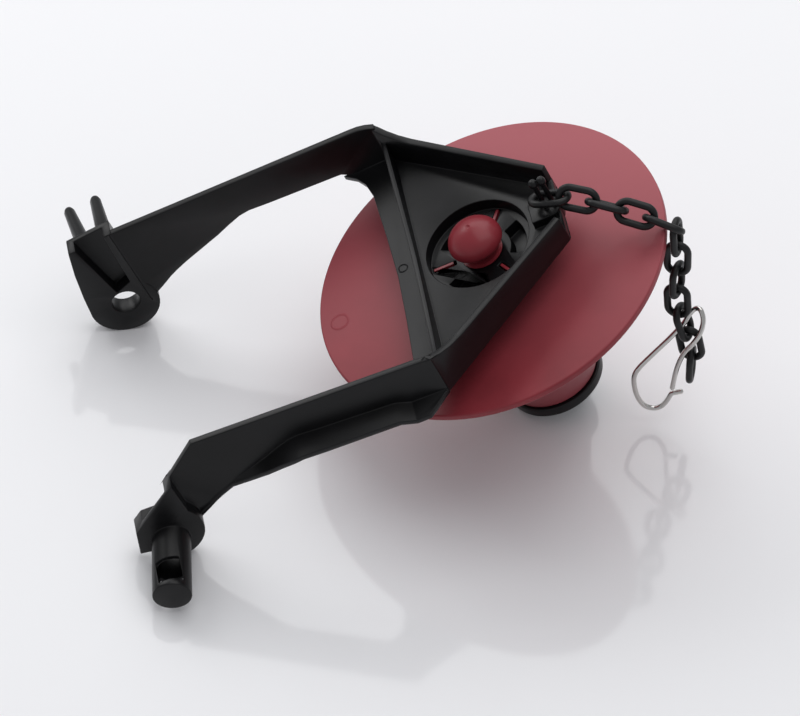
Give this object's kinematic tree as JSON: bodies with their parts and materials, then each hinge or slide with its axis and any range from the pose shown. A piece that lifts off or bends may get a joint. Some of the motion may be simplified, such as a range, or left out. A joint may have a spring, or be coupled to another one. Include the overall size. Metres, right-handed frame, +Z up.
{
  "type": "flush valve seal",
  "caption": "Toilet cistern flapper: red conical seal on a black two-arm hinge frame, with a lift chain and wire clip.",
  "frame": {"origin": "middle of the object's outline on the surface it lies on", "axes": "+Z up, +X from the two ears towards the seal and its chain, +Y from the ear with the peg to the plain ear"},
  "size_m": [0.1572, 0.118, 0.0785],
  "materials": {
    "frame_plastic": "satin moulded",
    "red_silicone": "satin",
    "ring_plastic": "satin moulded",
    "chain_plastic": "satin moulded",
    "stainless_wire": "bright drawn"
  },
  "bodies": {
    "flapper": {"frame": "frame_plastic", "seal": "red_silicone", "float_ring": "ring_plastic"},
    "link_01": {"chain_link_01": "chain_plastic"},
    "link_02": {"chain_link_02": "chain_plastic"},
    "link_03": {"chain_link_03": "chain_plastic"},
    "link_04": {"chain_link_04": "chain_plastic"},
    "link_05": {"chain_link_05": "chain_plastic"},
    "link_06": {"chain_link_06": "chain_plastic"},
    "link_07": {"chain_link_07": "chain_plastic"},
    "link_08": {"chain_link_08": "chain_plastic"},
    "link_09": {"chain_link_09": "chain_plastic"},
    "link_10": {"chain_link_10": "chain_plastic"},
    "link_11": {"chain_link_11": "chain_plastic"},
    "link_12": {"chain_link_12": "chain_plastic"},
    "clip": {"clip": "stainless_wire"}
  },
  "joints": [
    {"name": "link_01_swing", "type": "hinge", "parent": "flapper", "child": "link_01", "pos_m": [0.03497, 0.00464, 0.06929], "axis": [-0.4226, -0.9063, 0], "range_deg": [0, 25]},
    {"name": "link_02_swing", "type": "hinge", "parent": "link_01", "child": "link_02", "pos_m": [0.04297, 0.00109, 0.07258], "axis": [-0.4226, -0.9063, 0], "range_deg": [0, 20]},
    {"name": "link_03_swing", "type": "hinge", "parent": "link_02", "child": "link_03", "pos_m": [0.04857, -0.0016, 0.07255], "axis": [-0.4226, -0.9063, 0], "range_deg": [0, 15]},
    {"name": "link_04_swing", "type": "hinge", "parent": "link_03", "child": "link_04", "pos_m": [0.05628, -0.00512, 0.07193], "axis": [-0.4226, -0.9063, 0], "range_deg": [0, 15]},
    {"name": "link_05_swing", "type": "hinge", "parent": "link_04", "child": "link_05", "pos_m": [0.06224, -0.00806, 0.07105], "axis": [-0.4226, -0.9063, 0], "range_deg": [0, 15]},
    {"name": "link_06_swing", "type": "hinge", "parent": "link_05", "child": "link_06", "pos_m": [0.06898, -0.00941, 0.06956], "axis": [-0.4226, -0.9063, 0], "range_deg": [0, 10]},
    {"name": "link_07_swing", "type": "hinge", "parent": "link_06", "child": "link_07", "pos_m": [0.07002, -0.0099, 0.06015], "axis": [-0.4226, -0.9063, 0], "range_deg": [-3, 25]},
    {"name": "link_08_swing", "type": "hinge", "parent": "link_07", "child": "link_08", "pos_m": [0.07028, -0.01002, 0.05485], "axis": [-0.4226, -0.9063, 0], "range_deg": [-3, 25]},
    {"name": "link_09_swing", "type": "hinge", "parent": "link_08", "child": "link_09", "pos_m": [0.07075, -0.01021, 0.04517], "axis": [-0.4226, -0.9063, 0], "range_deg": [-3, 25]},
    {"name": "link_10_swing", "type": "hinge", "parent": "link_09", "child": "link_10", "pos_m": [0.07134, -0.01051, 0.03992], "axis": [-0.4226, -0.9063, 0], "range_deg": [-3, 25]},
    {"name": "link_11_swing", "type": "hinge", "parent": "link_10", "child": "link_11", "pos_m": [0.07432, -0.01195, 0.03081], "axis": [-0.4226, -0.9063, 0], "range_deg": [-3, 20]},
    {"name": "link_12_swing", "type": "hinge", "parent": "link_11", "child": "link_12", "pos_m": [0.07533, -0.0124, 0.02563], "axis": [-0.4226, -0.9063, 0], "range_deg": [-3, 20]},
    {"name": "clip_swing", "type": "hinge", "parent": "link_10", "child": "clip", "pos_m": [0.07284, -0.01121, 0.03536], "axis": [-0.4226, -0.9063, 0], "range_deg": [-4, 4]}
  ]
}
